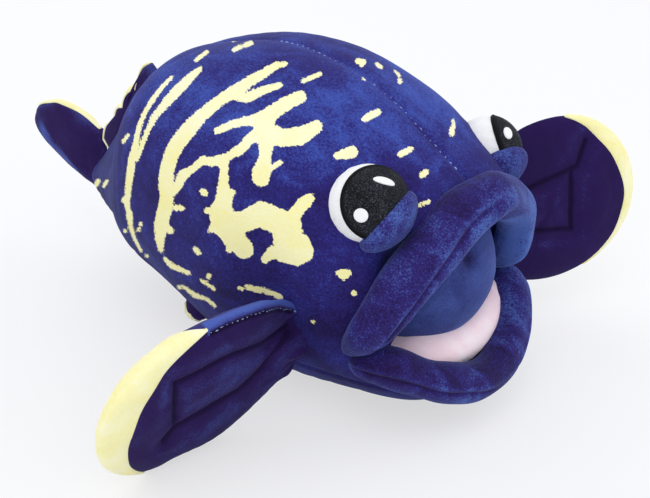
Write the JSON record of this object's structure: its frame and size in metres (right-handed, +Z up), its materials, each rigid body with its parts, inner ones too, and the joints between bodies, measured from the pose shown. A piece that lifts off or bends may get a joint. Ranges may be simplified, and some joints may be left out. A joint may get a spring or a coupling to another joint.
{
  "type": "stuffed toy fish",
  "caption": "Stuffed toy fish with a plump pile-fabric body, wide padded mouth, domed eyes with lower lids, and sewn fins that fold at their roots.",
  "frame": {"origin": "under the middle of the whole toy, on the plane that its belly rests on", "axes": "+Y from the face to the tail, +Z up, +X to the toy's left"},
  "size_m": [0.364, 0.4134, 0.188],
  "materials": {
    "navy_pile": "short pile",
    "yellow_pile": "short pile",
    "pink_lining": "brushed",
    "white_felt": "felt",
    "black_satin": "satin",
    "fibre_fill": "loose fibre"
  },
  "bodies": {
    "body": {"right_flank_panel": "navy_pile", "left_flank_panel": "navy_pile", "belly_panel": "navy_pile", "body_fill": "fibre_fill", "upper_lip": "navy_pile", "lower_lip": "navy_pile", "palate_pad": "navy_pile", "tongue_pad": "pink_lining", "right_eyeball": "white_felt", "right_iris": "black_satin", "right_glint_bar": "white_felt", "right_glint_dot": "white_felt", "right_lower_lid": "navy_pile", "left_eyeball": "white_felt", "left_iris": "black_satin", "left_glint_bar": "white_felt", "left_glint_dot": "white_felt", "left_lower_lid": "navy_pile"},
    "right_pectoral": {"right_pectoral_front_face": "navy_pile", "right_pectoral_back_face": "navy_pile", "right_pectoral_border": "yellow_pile", "right_pectoral_wadding": "fibre_fill"},
    "left_pectoral": {"left_pectoral_front_face": "navy_pile", "left_pectoral_back_face": "navy_pile", "left_pectoral_border": "yellow_pile", "left_pectoral_wadding": "fibre_fill"},
    "tail": {"tail_front_face": "navy_pile", "tail_back_face": "navy_pile", "tail_border": "yellow_pile", "tail_wadding": "fibre_fill"},
    "dorsal": {"dorsal_front_face": "navy_pile", "dorsal_back_face": "navy_pile", "dorsal_border": "yellow_pile"},
    "right_pelvic": {"right_pelvic_front_face": "navy_pile", "right_pelvic_back_face": "navy_pile", "right_pelvic_border": "yellow_pile"},
    "left_pelvic": {"left_pelvic_front_face": "navy_pile", "left_pelvic_back_face": "navy_pile", "left_pelvic_border": "yellow_pile"}
  },
  "joints": [
    {"name": "right_pectoral_fold", "type": "hinge", "parent": "body", "child": "right_pectoral", "pos_m": [-0.06683, -0.1248, 0.06076], "axis": [-0.1326, -0.4014, 0.9063], "range_deg": [-35, 40], "stiffness_Nm_per_rad": 0.3},
    {"name": "left_pectoral_fold", "type": "hinge", "parent": "body", "child": "left_pectoral", "pos_m": [0.08654, -0.1248, 0.06076], "axis": [0.2056, -0.0523, 0.9772], "range_deg": [-15, 60], "stiffness_Nm_per_rad": 0.3},
    {"name": "tail_swing", "type": "hinge", "parent": "body", "child": "tail", "pos_m": [0.00985, 0.1332, 0.0635], "axis": [0, 0, 1], "range_deg": [-40, 40], "stiffness_Nm_per_rad": 0.15},
    {"name": "dorsal_fold", "type": "hinge", "parent": "body", "child": "dorsal", "pos_m": [0.00985, 0.08871, 0.11843], "axis": [0, -0.6765, 0.7364], "range_deg": [-35, 35], "stiffness_Nm_per_rad": 0.05},
    {"name": "right_pelvic_fold", "type": "hinge", "parent": "body", "child": "right_pelvic", "pos_m": [-0.03335, -0.00779, 0.02276], "axis": [0.0592, 0.9558, 0.288], "range_deg": [-20, 20], "stiffness_Nm_per_rad": 0.03},
    {"name": "left_pelvic_fold", "type": "hinge", "parent": "body", "child": "left_pelvic", "pos_m": [0.05306, -0.00779, 0.02276], "axis": [-0.0592, 0.9558, 0.288], "range_deg": [-20, 20], "stiffness_Nm_per_rad": 0.03}
  ]
}
